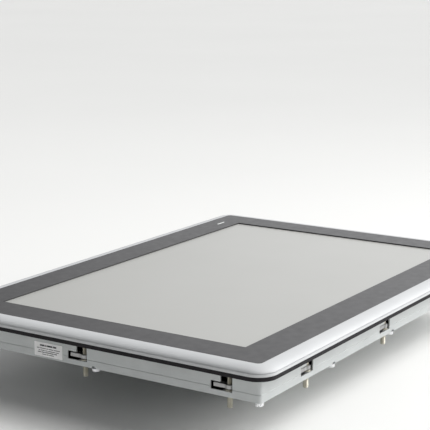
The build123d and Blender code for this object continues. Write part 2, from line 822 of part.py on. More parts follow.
with BuildPart() as power_socket:
    with BuildSketch(socket_plane):
        with Locations((power_x, power_z)):
            Rectangle(power_width, power_height)
    extrude(amount=-power_depth)
    with BuildSketch(socket_plane):
        with Locations((power_x, power_z)):
            Rectangle(power_width - 2.0, power_height - 2.0)
    extrude(amount=-power_cavity, mode=Mode.SUBTRACT)
    with BuildSketch(Plane.XZ.offset(socket_face - power_cavity)):
        with Locations((power_x, power_z)):
            with GridLocations(power_pitch, 0, 3, 1):
                Circle(power_pin_radius)
    extrude(amount=power_pin_length)
power_socket.part.label = "power_socket"
export_step(power_socket.part, "parts/power_socket.step")

with BuildPart() as network_sockets:
    with BuildSketch(socket_plane):
        with Locations(*[(x, network_z) for x in network_xs]):
            Rectangle(network_width, network_height)
    extrude(amount=-network_depth)
    with BuildSketch(socket_plane):
        with Locations(*[(x, network_cavity_z) for x in network_xs]):
            Rectangle(network_cavity_width, network_cavity_height)
        with Locations(*[(x, network_latch_z) for x in network_xs]):
            Rectangle(network_latch_width, network_latch_height)
    extrude(amount=-network_cavity, mode=Mode.SUBTRACT)
network_sockets.part.label = "network_sockets"
export_step(network_sockets.part, "parts/network_sockets.step")

with BuildPart() as usb_sockets:
    with BuildSketch(socket_plane):
        with Locations(*[(x, usb_z) for x in usb_xs]):
            Rectangle(usb_width, usb_height)
    extrude(amount=-usb_depth)
    with BuildSketch(socket_plane):
        with Locations(*[(x, usb_z) for x in usb_xs]):
            Rectangle(usb_cavity_width, usb_cavity_height)
    extrude(amount=-usb_cavity, mode=Mode.SUBTRACT)
    with BuildSketch(Plane.XZ.offset(socket_face - usb_cavity)):
        with Locations(*[(x, usb_z + 1.0) for x in usb_xs]):
            Rectangle(usb_tongue_width, usb_tongue_height)
    extrude(amount=usb_cavity - 0.8)
usb_sockets.part.label = "usb_sockets"
export_step(usb_sockets.part, "parts/usb_sockets.step")

with BuildPart() as serial_socket:
    with BuildSketch(Plane.XZ.offset(pod_height / 2 - pod_wall)):
        with Locations((serial_x, serial_z)):
            Rectangle(serial_body_width, serial_body_height)
    extrude(amount=-serial_body_depth)
    with BuildSketch(Plane.XZ.offset(pod_height / 2 - pod_wall)):
        with Locations((serial_x, serial_z)):
            RectangleRounded(serial_shell_width, serial_shell_height, 2.0)
    extrude(amount=serial_shell_reach + pod_wall)
    with BuildSketch(Plane.XZ.offset(pod_height / 2 + serial_shell_reach)):
        with Locations((serial_x, serial_z)):
            RectangleRounded(serial_shell_width - 1.0, serial_shell_height - 1.0, 1.5)
    extrude(amount=-serial_cavity, mode=Mode.SUBTRACT)
    with BuildSketch(Plane.XZ.offset(pod_height / 2 + serial_shell_reach - serial_cavity)):
        with Locations((serial_x, serial_z + serial_row_offset)):
            with GridLocations(serial_pin_pitch, 0, 5, 1):
                Circle(serial_pin_radius)
        with Locations((serial_x, serial_z - serial_row_offset)):
            with GridLocations(serial_pin_pitch, 0, 4, 1):
                Circle(serial_pin_radius)
    extrude(amount=serial_cavity - 1.0)
    with BuildSketch(Plane.XZ.offset(pod_height / 2 - pod_wall)):
        with Locations(*serial_post_sites):
            Circle(serial_post_radius)
            Circle(serial_post_hole, mode=Mode.SUBTRACT)
    extrude(amount=serial_shell_reach + pod_wall - 0.5)
serial_socket.part.label = "serial_socket"
export_step(serial_socket.part, "parts/serial_socket.step")

with BuildPart() as earth_stud:
    with BuildSketch(Plane.XZ.offset(pod_height / 2 + earth_reach)):
        with Locations((earth_x, earth_z)):
            Circle(earth_radius)
    extrude(amount=-earth_free_length)
    tip = earth_stud.edges().filter_by(GeomType.CIRCLE).sort_by(Axis.Y)[0]
    chamfer(tip, length=0.5)
    # Thinner shank under the nut and through the housing's wall.
    with BuildSketch(Plane.XZ.offset(pod_height / 2 + earth_reach - earth_free_length)):
        with Locations((earth_x, earth_z)):
            Circle(earth_shank_radius)
    extrude(amount=earth_free_length - earth_reach - pod_wall)
    with BuildSketch(Plane.XZ.offset(pod_height / 2 - pod_wall)):
        with Locations((earth_x, earth_z)):
            RegularPolygon(radius=m4_hex_radius, side_count=6)
    extrude(amount=-2.5)
earth_stud.part.label = "earth_stud"
export_step(earth_stud.part, "parts/earth_stud.step")

with BuildPart() as earth_nut:
    with BuildSketch(Plane.XZ.offset(pod_height / 2)):
        with Locations((earth_x, earth_z)):
            Circle(washer_radius)
    extrude(amount=washer_thickness)
    with BuildSketch(Plane.XZ.offset(pod_height / 2 + washer_thickness)):
        with Locations((earth_x, earth_z)):
            RegularPolygon(radius=m4_hex_radius, side_count=6)
    extrude(amount=m4_nut_height)
    with BuildSketch(Plane.XZ.offset(pod_height / 2)):
        with Locations((earth_x, earth_z)):
            Circle(earth_shank_radius + running_fit)
    extrude(amount=washer_thickness + m4_nut_height, mode=Mode.SUBTRACT)
earth_nut.part.label = "earth_nut"
export_step(earth_nut.part, "parts/earth_nut.step")

with BuildPart() as reset_button:
    with BuildSketch(Plane.XZ.offset(pod_height / 2 + 0.3)):
        with Locations((reset_x, reset_z)):
            Circle(reset_radius)
    extrude(amount=-reset_length)
    with BuildSketch(Plane.XZ.offset(pod_height / 2 - pod_wall - 0.1)):
        with Locations((reset_x, reset_z)):
            Circle(reset_flange_radius)
    extrude(amount=-1.0)
reset_button.part.label = "reset_button"
export_step(reset_button.part, "parts/reset_button.step")

with BuildPart() as card_slot:
    with BuildSketch(Plane.YZ.offset(pod_width / 2 - pod_wall)):
        with Locations((card_y, board_bottom - card_body_height / 2)):
            Rectangle(card_slot_width + 2.6, card_body_height)
    extrude(amount=-card_body_depth)
    with BuildSketch(Plane.YZ.offset(pod_width / 2 - pod_wall)):
        with Locations((card_y, card_z)):
            Rectangle(card_slot_width, card_slot_height)
    extrude(amount=-card_depth, mode=Mode.SUBTRACT)
card_slot.part.label = "card_slot"
export_step(card_slot.part, "parts/card_slot.step")

with BuildPart() as card_door:
    with BuildSketch(Plane.YZ.offset(door_axis_x)):
        with Locations((card_y, (door_axis_z + door_top) / 2)):
            RectangleRounded(2 * (ear_offset - 0.3), door_top - door_axis_z, 0.8)
    extrude(amount=-door_thickness)
    with BuildSketch(Plane.XZ.offset(-(card_y - ear_offset + 0.3))):
        with Locations((door_axis_x, door_axis_z)):
            Circle(door_barrel_radius)
    extrude(amount=-2 * (ear_offset - 0.3))
    with BuildSketch(Plane.XZ.offset(-(card_y - ear_offset - ear_width))):
        with Locations((door_axis_x, door_axis_z)):
            Circle(door_pin_radius)
    extrude(amount=-2 * (ear_offset + ear_width))
    # Finger tab at the free edge.
    with BuildSketch(Plane.YZ.offset(door_axis_x)):
        with Locations((card_y, door_top - 1.0)):
            Rectangle(door_tab_width, 2.0)
    extrude(amount=door_tab_reach)
card_door.part.label = "card_door"
export_step(card_door.part, "parts/card_door.step")

with BuildPart() as battery_holder:
    with BuildSketch(Plane.XY.offset(board_top)):
        with Locations((battery_x, battery_y)):
            Circle(battery_radius + 1.8)
    extrude(amount=holder_floor + 4.0)
    with BuildSketch(Plane.XY.offset(board_top + holder_floor)):
        with Locations((battery_x, battery_y)):
            Circle(battery_radius + 0.2)
    extrude(amount=4.0, mode=Mode.SUBTRACT)
battery_holder.part.label = "battery_holder"
export_step(battery_holder.part, "parts/battery_holder.step")

with BuildPart() as backup_battery:
    with BuildSketch(Plane.XY.offset(board_top + holder_floor)):
        with Locations((battery_x, battery_y)):
            Circle(battery_radius)
    extrude(amount=battery_thickness)
backup_battery.part.label = "backup_battery"
export_step(backup_battery.part, "parts/backup_battery.step")

with BuildPart() as backlight_driver:
    with BuildSketch(Plane.XY.offset(cover_floor_top)):
        with Locations((driver_x, driver_y)):
            with GridLocations(driver_board_width - 12.0, driver_board_height - 8.0, 2, 2):
                Circle(driver_pad_radius)
    extrude(amount=driver_pad_height)
    with BuildSketch(Plane.XY.offset(cover_floor_top + driver_pad_height)):
        with Locations((driver_x, driver_y)):
            Rectangle(driver_board_width, driver_board_height)
    extrude(amount=board_thickness)
    with BuildSketch(Plane.XY.offset(cover_floor_top + driver_pad_height + board_thickness)):
        with Locations((driver_x, driver_y)):
            with GridLocations(coil_pitch, 0, 3, 1):
                Rectangle(coil_width, coil_width)
    extrude(amount=coil_height)
backlight_driver.part.label = "backlight_driver"
export_step(backlight_driver.part, "parts/backlight_driver.step")

with BuildPart() as display_cable:
    with BuildLine(Plane.XZ.offset(-display_cable_y)) as display_route:
        FilletPolyline(
            (display_cable_x, lcd_back - display_plug_height),
            (display_cable_x, 40.0),
            (display_board_x, 34.0),
            (display_board_x, board_top + board_plug_height),
            radius=5.0,
        )
    with BuildSketch(Plane(origin=display_route.line @ 0, x_dir=(1, 0, 0), z_dir=(0, 0, -1))):
        Rectangle(display_cable_thickness, display_cable_width)
    sweep(path=display_route.line)
    with BuildSketch(Plane.XY.offset(lcd_back - display_plug_height)):
        with Locations((display_cable_x, display_cable_y)):
            Rectangle(plug_depth, display_plug_width)
    extrude(amount=display_plug_height)
    with BuildSketch(Plane.XY.offset(board_top)):
        with Locations((display_board_x, display_cable_y)):
            Rectangle(plug_depth, display_plug_width)
    extrude(amount=board_plug_height)
display_cable.part.label = "display_cable"
export_step(display_cable.part, "parts/display_cable.step")

with BuildPart() as touch_cable:
    with BuildLine(Plane.YZ.offset(touch_cable_x)) as touch_route:
        FilletPolyline(
            (touch_cable_y, glass_bottom),
            (touch_cable_y, touch_cable_level),
            (touch_board_y, touch_cable_level),
            (touch_board_y, board_top + touch_plug_height),
            radius=5.0,
        )
    with BuildSketch(Plane(origin=touch_route.line @ 0, x_dir=(1, 0, 0), z_dir=(0, 0, -1))):
        Rectangle(touch_cable_width, touch_cable_thickness)
    sweep(path=touch_route.line)
    with BuildSketch(Plane.XY.offset(board_top)):
        with Locations((touch_cable_x, touch_board_y)):
            Rectangle(touch_plug_width, plug_depth)
    extrude(amount=touch_plug_height)
touch_cable.part.label = "touch_cable"
export_step(touch_cable.part, "parts/touch_cable.step")
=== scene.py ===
"""Looks of the touch panel: finishes, threads, contacts, prints, floor, light and camera.

Lengths are in metres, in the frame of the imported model: +Z is the way the screen faces,
+X runs along the long side, and the panel lies on its rear housing at z = 0.
"""

import json
import math
from typing import NamedTuple

import bmesh
import bpy
from mathutils import Matrix, Vector


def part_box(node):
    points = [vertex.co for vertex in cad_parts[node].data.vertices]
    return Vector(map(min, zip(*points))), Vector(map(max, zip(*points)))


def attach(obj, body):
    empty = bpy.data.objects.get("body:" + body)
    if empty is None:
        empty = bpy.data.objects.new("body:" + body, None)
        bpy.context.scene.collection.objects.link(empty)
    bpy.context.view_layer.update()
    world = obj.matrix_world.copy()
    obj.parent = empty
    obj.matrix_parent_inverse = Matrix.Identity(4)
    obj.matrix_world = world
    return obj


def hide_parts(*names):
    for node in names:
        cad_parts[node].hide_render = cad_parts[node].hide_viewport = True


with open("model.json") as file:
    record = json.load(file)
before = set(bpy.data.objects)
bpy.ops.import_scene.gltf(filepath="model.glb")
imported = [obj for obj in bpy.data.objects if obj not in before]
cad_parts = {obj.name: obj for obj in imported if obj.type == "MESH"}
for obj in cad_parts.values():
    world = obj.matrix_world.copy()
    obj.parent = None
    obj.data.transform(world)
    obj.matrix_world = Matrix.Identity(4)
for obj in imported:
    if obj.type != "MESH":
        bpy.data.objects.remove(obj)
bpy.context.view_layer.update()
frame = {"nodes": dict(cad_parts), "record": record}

MM = 0.001
TURN = math.tau
SHARP_ANGLE = math.radians(35.0)

# --- Camera: the photograph's viewpoint ------------------------------------------------
CAMERA_PLACE = Vector((-0.9191, -0.5670, 0.3349))
CAMERA_HEADING = math.radians(57.19)
CAMERA_TILT = math.radians(11.72)
CAMERA_LENS = 114.9
SENSOR_WIDTH = 36.0
CLIP_START = 0.05
CLIP_END = 60.0

# --- Light and floor ---------------------------------------------------------------------
# Headings are measured from the way that the lower edge faces, towards the right edge.
LIGHT_TINT = (1.0, 0.995, 0.985)
SUN_HEADING = math.radians(31.0)
SUN_HEIGHT = math.radians(40.6)
SUN_STRENGTH = 2.8
SUN_SOFTNESS = math.radians(55.0)
BOX_HEADING = math.radians(41.0)
BOX_HEIGHT = math.radians(52.0)
BOX_DISTANCE = 1.3
BOX_SIZE = 0.7
BOX_POWER = 6.0
# The surround goes from dim to bright over this range of closeness to its heading, as light.
# Where the camera sees it, its strength is even.
SKY_TINT = (0.98, 0.99, 1.0)
SKY_HEADING = math.radians(75.0)
SKY_DIM = 0.27
SKY_BRIGHT = 1.35
SKY_TURN = (0.35, 0.85)
SKY_SEEN = 0.85
FLOOR_HALF_SIDE = 14.0

# --- Clamp screws and earth stud: M4 -----------------------------------------------------
M4_RADIUS = 2.0 * MM
M4_PITCH = 0.7 * MM
M4_DEPTH = 0.40 * MM
THREAD_STEPS = 4
SEGMENTS = 28
CLAMP_PLAIN_END = 0.4 * MM
CLAMP_SOCKET_RADIUS = 1.2 * MM
CLAMP_SOCKET_DEPTH = 2.5 * MM
COLLAR_CLEARANCE = 0.1 * MM
COLLAR_HEIGHT = 0.8 * MM
COLLAR_EDGE = 0.2 * MM
STUD_PLAIN_END = 0.5 * MM
STUD_THREAD_END = 5.6 * MM
STUD_RUN_OUT = 0.1 * MM
STUD_SHANK_RADIUS = 1.65 * MM
STUD_HEAD_RADIUS = 4.0 * MM
STUD_HEAD_HEIGHT = 2.5 * MM

# --- Contacts and lamps of the sockets ---------------------------------------------------
# Depths are measured inwards from the socket's mouth, and drops down from its top.
NETWORK_HALF_WIDTH = 8.0 * MM
NETWORK_WIRES = 8
NETWORK_PITCH = 1.02 * MM
WIRE_HALF_WIDTH = 0.17 * MM
WIRE_DEPTHS = (4.5 * MM, 12.5 * MM)
WIRE_DROPS = (5.2 * MM, 4.9 * MM)
WIRE_EDGE = 0.05 * MM
WIRE_TILT = math.radians(12.0)
LAMP_OFFSET = 5.6 * MM
LAMP_SIZE = Vector((2.8, 0.6, 1.6)) * MM
LAMP_PROUD = 0.15 * MM
LAMP_DROP = 2.6 * MM
LAMP_EDGE = 0.12 * MM
USB_HALF_WIDTH = 7.1 * MM
USB_CONTACTS = 4
USB_PITCH = 2.3 * MM
USB_CONTACT_SIZE = Vector((1.0, 7.5, 0.12)) * MM
USB_CONTACT_DEPTH = 1.6 * MM
USB_CONTACT_PROUD = 0.08 * MM
USB_CONTACT_EDGE = 0.03 * MM
USB_TONGUE_DROP = 3.4 * MM

# --- Labels ------------------------------------------------------------------------------
PLATE_CENTRE = Vector((-0.150, -0.085))
PLATE_HALF = Vector((0.030, 0.017))
PLATE_THICKNESS = 0.12 * MM
PLATE_EDGE = 0.04 * MM
# Rows of print on a label, as bars: where the row starts and how far down it lies, the bars'
# height, and the bars' lengths, all as shares of the label's width or height.
LABEL_ROWS = (
    (0.20, 0.21, 0.12, (0.17, 0.05, 0.19, 0.12)),
    (0.09, 0.42, 0.05, (0.10, 0.20, 0.07, 0.16, 0.22)),
    (0.15, 0.57, 0.05, (0.06, 0.14, 0.09, 0.24, 0.12)),
    (0.12, 0.70, 0.06, (0.11, 0.12, 0.30, 0.10)),
    (0.28, 0.84, 0.05, (0.13, 0.08, 0.17)),
)
WORD_GAP = 0.018
INK_DEPTH = 0.02 * MM

# --- Finishes ----------------------------------------------------------------------------


class Finish(NamedTuple):
    """How one material looks. patches and fineness are scales per metre of its noises."""

    tones: tuple  # the two colours that its patches drift between
    patches: float
    roughness: tuple  # lowest and highest
    metallic: float
    grain: float  # strength of the fine bumps
    fineness: float
    shine: float = 0.5  # level of the plain reflection


FINISHES = {
    "frame_aluminium": Finish(
        tones=((0.56, 0.57, 0.58), (0.53, 0.54, 0.55)),
        patches=30, roughness=(0.62, 0.70), metallic=0.05, grain=0.08, fineness=2200,
        shine=0.30,
    ),
    "overlay_film": Finish(
        tones=((0.044, 0.043, 0.045), (0.039, 0.038, 0.04)),
        patches=40, roughness=(0.34, 0.40), metallic=0.00, grain=0.30, fineness=1500,
        shine=0.30,
    ),
    "touch_surface": Finish(
        tones=((0.39, 0.39, 0.373), (0.375, 0.375, 0.358)),
        patches=5, roughness=(0.29, 0.31), metallic=0.00, grain=0.03, fineness=60,
    ),
    "seal_rubber": Finish(
        tones=((0.024, 0.022, 0.025), (0.016, 0.015, 0.017)),
        patches=180, roughness=(0.55, 0.70), metallic=0.00, grain=0.30, fineness=900,
        shine=0.15,
    ),
    "housing_metal": Finish(
        tones=((0.54, 0.56, 0.56), (0.49, 0.51, 0.51)),
        patches=50, roughness=(0.40, 0.50), metallic=0.35, grain=0.12, fineness=1300,
    ),
    "bright_zinc": Finish(
        tones=((0.84, 0.85, 0.86), (0.74, 0.75, 0.77)),
        patches=260, roughness=(0.24, 0.36), metallic=0.70, grain=0.15, fineness=2400,
    ),
    "yellow_zinc": Finish(
        tones=((0.60, 0.58, 0.50), (0.50, 0.47, 0.39)),
        patches=240, roughness=(0.34, 0.48), metallic=0.50, grain=0.20, fineness=2400,
    ),
    "lever_metal": Finish(
        tones=((0.46, 0.46, 0.46), (0.36, 0.36, 0.36)),
        patches=300, roughness=(0.32, 0.46), metallic=0.60, grain=0.25, fineness=1800,
    ),
    "lens_plastic": Finish(
        tones=((0.80, 0.82, 0.80), (0.72, 0.75, 0.73)),
        patches=300, roughness=(0.18, 0.26), metallic=0.00, grain=0.05, fineness=2000,
    ),
    "label_film": Finish(
        tones=((0.95, 0.95, 0.95), (0.90, 0.90, 0.90)),
        patches=120, roughness=(0.30, 0.38), metallic=0.00, grain=0.05, fineness=1800,
    ),
    "label_ink": Finish(
        tones=((0.045, 0.045, 0.05), (0.03, 0.03, 0.034)),
        patches=400, roughness=(0.40, 0.50), metallic=0.00, grain=0.05, fineness=1800,
    ),
    "black_plastic": Finish(
        tones=((0.03, 0.03, 0.033), (0.018, 0.018, 0.02)),
        patches=220, roughness=(0.42, 0.58), metallic=0.00, grain=0.40, fineness=1600,
    ),
    "terminal_green": Finish(
        tones=((0.06, 0.33, 0.15), (0.045, 0.26, 0.115)),
        patches=200, roughness=(0.36, 0.48), metallic=0.00, grain=0.25, fineness=1600,
    ),
    "socket_metal": Finish(
        tones=((0.74, 0.74, 0.73), (0.60, 0.60, 0.59)),
        patches=240, roughness=(0.26, 0.42), metallic=0.90, grain=0.15, fineness=2000,
    ),
    "heatsink_aluminium": Finish(
        tones=((0.56, 0.57, 0.59), (0.46, 0.47, 0.49)),
        patches=150, roughness=(0.38, 0.52), metallic=0.90, grain=0.25, fineness=1500,
    ),
    "display_stack": Finish(
        tones=((0.06, 0.062, 0.07), (0.045, 0.047, 0.054)),
        patches=40, roughness=(0.14, 0.22), metallic=0.00, grain=0.05, fineness=2000,
    ),
    "cable_film": Finish(
        tones=((0.62, 0.36, 0.12), (0.52, 0.28, 0.09)),
        patches=120, roughness=(0.30, 0.42), metallic=0.00, grain=0.15, fineness=1200,
    ),
    "foam": Finish(
        tones=((0.035, 0.035, 0.036), (0.018, 0.018, 0.019)),
        patches=500, roughness=(0.78, 0.92), metallic=0.00, grain=0.60, fineness=1400,
        shine=0.10,
    ),
    "contact_gold": Finish(
        tones=((0.86, 0.62, 0.24), (0.76, 0.53, 0.19)),
        patches=400, roughness=(0.18, 0.30), metallic=1.00, grain=0.10, fineness=2400,
    ),
    "lamp_green": Finish(
        tones=((0.12, 0.42, 0.10), (0.09, 0.34, 0.08)),
        patches=400, roughness=(0.15, 0.24), metallic=0.00, grain=0.05, fineness=2000,
    ),
    "lamp_amber": Finish(
        tones=((0.62, 0.34, 0.05), (0.52, 0.28, 0.04)),
        patches=400, roughness=(0.15, 0.24), metallic=0.00, grain=0.05, fineness=2000,
    ),
    "studio_floor": Finish(
        tones=((0.80, 0.80, 0.79), (0.785, 0.785, 0.775)),
        patches=1.6, roughness=(0.76, 0.82), metallic=0.00, grain=0.02, fineness=300,
    ),
}

# The part of a noise's range that is mapped onto a finish's own range.
NOISE_LOW = 0.3
NOISE_HIGH = 0.7
PATCH_DETAIL = 4.0
STREAK_DETAIL = 6.0
STREAKS_PER_PATCH = 3.7
GRAIN_DETAIL = 2.0
GRAIN_HEIGHT = 0.05 * MM

# Circuit boards: laminate and track tones, and the tracks' sizes in mm.
LAMINATE = (0.055, 0.26, 0.10)
TRACK_TONES = ((0.020, 0.15, 0.055), (0.012, 0.11, 0.040))
TRACK_LENGTH = 5.5
TRACK_PITCH = 1.3
TRACK_GAP = 0.10
TRACK_GAP_BLUR = 0.1
TRACK_STAGGER = 0.37
TRACK_STRETCH = 1.7
TRACK_STRETCH_ROWS = 3
BOARD_MARGIN = 1.5 * MM
LACQUER_ROUGHNESS = (0.33, 0.46)
LACQUER_PATCHES = 300.0
LACQUER_GRAIN = 0.1
LACQUER_FINENESS = 1800.0

# The sheet-metal box gets painted shade, near black, on the faces that lie deeper than this under
# its outside.
INNER_PAINTED_SHADE = (0.012, 0.012, 0.013)
SHELL_SKIN = 1.0 * MM

# Places of a Mix node's sockets, whose names are shared between colours and plain numbers.
MIX_COLOURS = (6, 7)
MIX_COLOUR_RESULT = 2
MIX_NUMBERS = (2, 3)
MIX_NUMBER_RESULT = 0


# ================================ Materials ===============================================


def set_input(tree, socket, value):
    """Links value to the socket if it is a socket itself, or stores it as the socket's value."""
    if isinstance(value, bpy.types.NodeSocket):
        tree.links.new(value, socket)
    elif isinstance(value, tuple) and len(value) == 3 and socket.type == "RGBA":
        socket.default_value = (*value, 1.0)
    else:
        socket.default_value = value


def blank_material(name):
    """A new material with its node tree and its Principled shader."""
    material = bpy.data.materials.new(name)
    material.use_nodes = True
    nodes = material.node_tree.nodes
    nodes.clear()
    shader = nodes.new("ShaderNodeBsdfPrincipled")
    output = nodes.new("ShaderNodeOutputMaterial")
    material.node_tree.links.new(shader.outputs["BSDF"], output.inputs["Surface"])
    return material, shader


def object_place(tree):
    """Output with a point's place in the frame."""
    return tree.nodes.new("ShaderNodeTexCoord").outputs["Object"]


def object_axes(tree):
    """X, Y and Z outputs of a point's place in the frame."""
    parts = tree.nodes.new("ShaderNodeSeparateXYZ")
    tree.links.new(object_place(tree), parts.inputs["Vector"])
    return parts.outputs


def colour_mix(tree, factor, first, second):
    """Colour output that goes from first to second with factor; either is a tone or a socket."""
    mix = tree.nodes.new("ShaderNodeMix")
    mix.data_type = "RGBA"
    tree.links.new(factor, mix.inputs["Factor"])
    for place, colour in zip(MIX_COLOURS, (first, second)):
        set_input(tree, mix.inputs[place], colour)
    return mix.outputs[MIX_COLOUR_RESULT]


def calculate(tree, operation, first, second=0.5):
    """Output of a Math node."""
    node = tree.nodes.new("ShaderNodeMath")
    node.operation = operation
    set_input(tree, node.inputs[0], first)
    set_input(tree, node.inputs[1], second)
    return node.outputs["Value"]


def within(tree, value, low, high, margin):
    """1 where value lies between low and high and further than margin from both, else 0."""
    offset = calculate(tree, "SUBTRACT", value, (low + high) / 2)
    half = (high - low) / 2 - margin
    return calculate(tree, "LESS_THAN", calculate(tree, "ABSOLUTE", offset), half)


def noise(tree, place, scale, detail=PATCH_DETAIL):
    """Output of a noise texture at that place."""
    node = tree.nodes.new("ShaderNodeTexNoise")
    node.inputs["Scale"].default_value = scale
    node.inputs["Detail"].default_value = detail
    tree.links.new(place, node.inputs["Vector"])
    return node.outputs["Fac"]


def spread(tree, value, low, high):
    """Maps the middle of a noise's range onto low to high."""
    node = tree.nodes.new("ShaderNodeMapRange")
    node.inputs["From Min"].default_value = NOISE_LOW
    node.inputs["From Max"].default_value = NOISE_HIGH
    node.inputs["To Min"].default_value = low
    node.inputs["To Max"].default_value = high
    tree.links.new(value, node.inputs["Value"])
    return node.outputs["Result"]


def add_grain(tree, shader, place, strength, fineness):
    """Fine bumps on the shader's surface."""
    bump = tree.nodes.new("ShaderNodeBump")
    bump.inputs["Strength"].default_value = strength
    bump.inputs["Distance"].default_value = GRAIN_HEIGHT
    tree.links.new(noise(tree, place, fineness, GRAIN_DETAIL), bump.inputs["Height"])
    tree.links.new(bump.outputs["Normal"], shader.inputs["Normal"])


def toned_material(name):
    """A finish from the table: patches of two tones, uneven roughness and fine grain."""
    finish = FINISHES[name]
    material, shader = blank_material(name)
    tree = material.node_tree
    place = object_place(tree)
    drift = spread(tree, noise(tree, place, finish.patches), 0.0, 1.0)
    tree.links.new(colour_mix(tree, drift, *finish.tones), shader.inputs["Base Color"])
    streaks = noise(tree, place, finish.patches * STREAKS_PER_PATCH, STREAK_DETAIL)
    tree.links.new(spread(tree, streaks, *finish.roughness), shader.inputs["Roughness"])
    shader.inputs["Metallic"].default_value = finish.metallic
    shader.inputs["Specular IOR Level"].default_value = finish.shine
    add_grain(tree, shader, place, finish.grain, finish.fineness)
    return material


def board_material(low, high):
    """Green laminate with rows of copper tracks under the lacquer, inside a margin."""
    material, shader = blank_material("board_laminate")
    tree = material.node_tree
    axes = object_axes(tree)
    flat = tree.nodes.new("ShaderNodeCombineXYZ")
    for axis in "XY":
        tree.links.new(calculate(tree, "MULTIPLY", axes[axis], 1.0 / MM), flat.inputs[axis])
    inside_x = within(tree, axes["X"], low.x, high.x, BOARD_MARGIN)
    inside_y = within(tree, axes["Y"], low.y, high.y, BOARD_MARGIN)
    tracks = tree.nodes.new("ShaderNodeTexBrick")
    tracks.offset = TRACK_STAGGER
    tracks.offset_frequency = 2
    tracks.squash = TRACK_STRETCH
    tracks.squash_frequency = TRACK_STRETCH_ROWS
    tree.links.new(flat.outputs["Vector"], tracks.inputs["Vector"])
    for socket, value in (
        ("Color1", TRACK_TONES[0]),
        ("Color2", TRACK_TONES[1]),
        ("Mortar", LAMINATE),
        ("Scale", 1.0),
        ("Mortar Size", TRACK_GAP),
        ("Mortar Smooth", TRACK_GAP_BLUR),
        ("Brick Width", TRACK_LENGTH),
        ("Row Height", TRACK_PITCH),
    ):
        set_input(tree, tracks.inputs[socket], value)
    inside = calculate(tree, "MULTIPLY", inside_x, inside_y)
    tone = colour_mix(tree, inside, LAMINATE, tracks.outputs["Color"])
    tree.links.new(tone, shader.inputs["Base Color"])
    place = object_place(tree)
    gloss = spread(tree, noise(tree, place, LACQUER_PATCHES), *LACQUER_ROUGHNESS)
    tree.links.new(gloss, shader.inputs["Roughness"])
    add_grain(tree, shader, place, LACQUER_GRAIN, LACQUER_FINENESS)
    return material


def painted_shade_shell_material():
    """The housing's finish, with painted shade, near black, on the faces inside the sheet-metal
    box.
    """
    material = toned_material("housing_metal")
    material.name = "housing_painted_inner_shade"
    tree = material.node_tree
    low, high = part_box("rear_cover")
    axes = object_axes(tree)
    inside_x = within(tree, axes["X"], low.x, high.x, SHELL_SKIN)
    inside_y = within(tree, axes["Y"], low.y, high.y, SHELL_SKIN)
    above = calculate(tree, "GREATER_THAN", axes["Z"], low.z + SHELL_SKIN)
    inside = calculate(tree, "MULTIPLY", calculate(tree, "MULTIPLY", inside_x, inside_y), above)
    shader = next(node for node in tree.nodes if node.type == "BSDF_PRINCIPLED")
    base = shader.inputs["Base Color"]
    outside = base.links[0].from_socket
    # Faces inside the box take the near-black painted shade tone in place of the metal's colour.
    tree.links.new(colour_mix(tree, inside, outside, INNER_PAINTED_SHADE), base)
    return material


materials = {name: toned_material(name) for name in FINISHES}


def dress_cad_nodes():
    """Gives every CAD node the material of its slot in the record."""
    shell = painted_shade_shell_material()
    for part in frame["record"]["subparts"]:
        name = part["node"]
        if name in ("housing_wall", "rear_cover"):
            finish = shell
        elif part["material_slot"] == "board_laminate":
            finish = board_material(*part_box(name))
        else:
            finish = materials[part["material_slot"]]
        for place in frame["nodes"][name].material_slots:
            place.material = finish


# ================================ Mesh helpers ============================================


def mesh_object(name, mesh, material, body):
    """Turns a bmesh in the frame into a piece that rides on a body."""
    data = bpy.data.meshes.new(name)
    bmesh.ops.recalc_face_normals(mesh, faces=mesh.faces)
    mesh.to_mesh(data)
    mesh.free()
    data.materials.append(material)
    data.shade_smooth()
    data.set_sharp_from_angle(angle=SHARP_ANGLE)
    piece = bpy.data.objects.new(name, data)
    bpy.context.scene.collection.objects.link(piece)
    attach(piece, body)
    return piece


def add_turned(mesh, rings, placing):
    """Closed solid through rings of (radius, height); a radius may be a function of the angle."""
    loops = []
    for radius, height in rings:
        loop = []
        for step in range(SEGMENTS):
            angle = TURN * step / SEGMENTS
            reach = radius(angle) if callable(radius) else radius
            spot = Vector((reach * math.cos(angle), reach * math.sin(angle), height))
            loop.append(mesh.verts.new(placing @ spot))
        loops.append(loop)
    for lower, upper in zip(loops, loops[1:]):
        for first in range(SEGMENTS):
            second = (first + 1) % SEGMENTS
            mesh.faces.new((lower[first], lower[second], upper[second], upper[first]))
    mesh.faces.new(list(reversed(loops[0])))
    mesh.faces.new(loops[-1])


def add_block(mesh, low, high, bevel, tilt=0.0):
    """Box with bevelled edges, tilted about X round its middle."""
    turn = Matrix.Rotation(tilt, 4, "X")
    placing = Matrix.Translation((low + high) / 2) @ turn @ Matrix.Diagonal((*(high - low), 1.0))
    made = bmesh.ops.create_cube(mesh, size=1.0, matrix=placing)
    edges = {edge for vertex in made["verts"] for edge in vertex.link_edges}
    bmesh.ops.bevel(
        mesh, geom=list(edges), offset=bevel, segments=2, profile=0.5, affect="EDGES"
    )


def thread_radius(height):
    """Radius of a right-hand M4 thread at a height, as a function of the angle."""

    def at_angle(angle):
        turns = height / M4_PITCH - angle / TURN
        return M4_RADIUS - M4_DEPTH * abs(2.0 * (turns - math.floor(turns)) - 1.0)

    return at_angle


def thread_rings(start, end):
    """Rings of an M4 thread between two heights."""
    count = int((end - start) / M4_PITCH * THREAD_STEPS)
    heights = [start + (end - start) * step / count for step in range(count + 1)]
    return [(thread_radius(height), height) for height in heights]


def hexagon(corner_radius):
    """Radius of a hexagon as a function of the angle."""

    def at_angle(angle):
        sixth = TURN / 6
        return corner_radius * math.cos(sixth / 2) / math.cos(angle % sixth - sixth / 2)

    return at_angle


# ================================ Pieces ==================================================


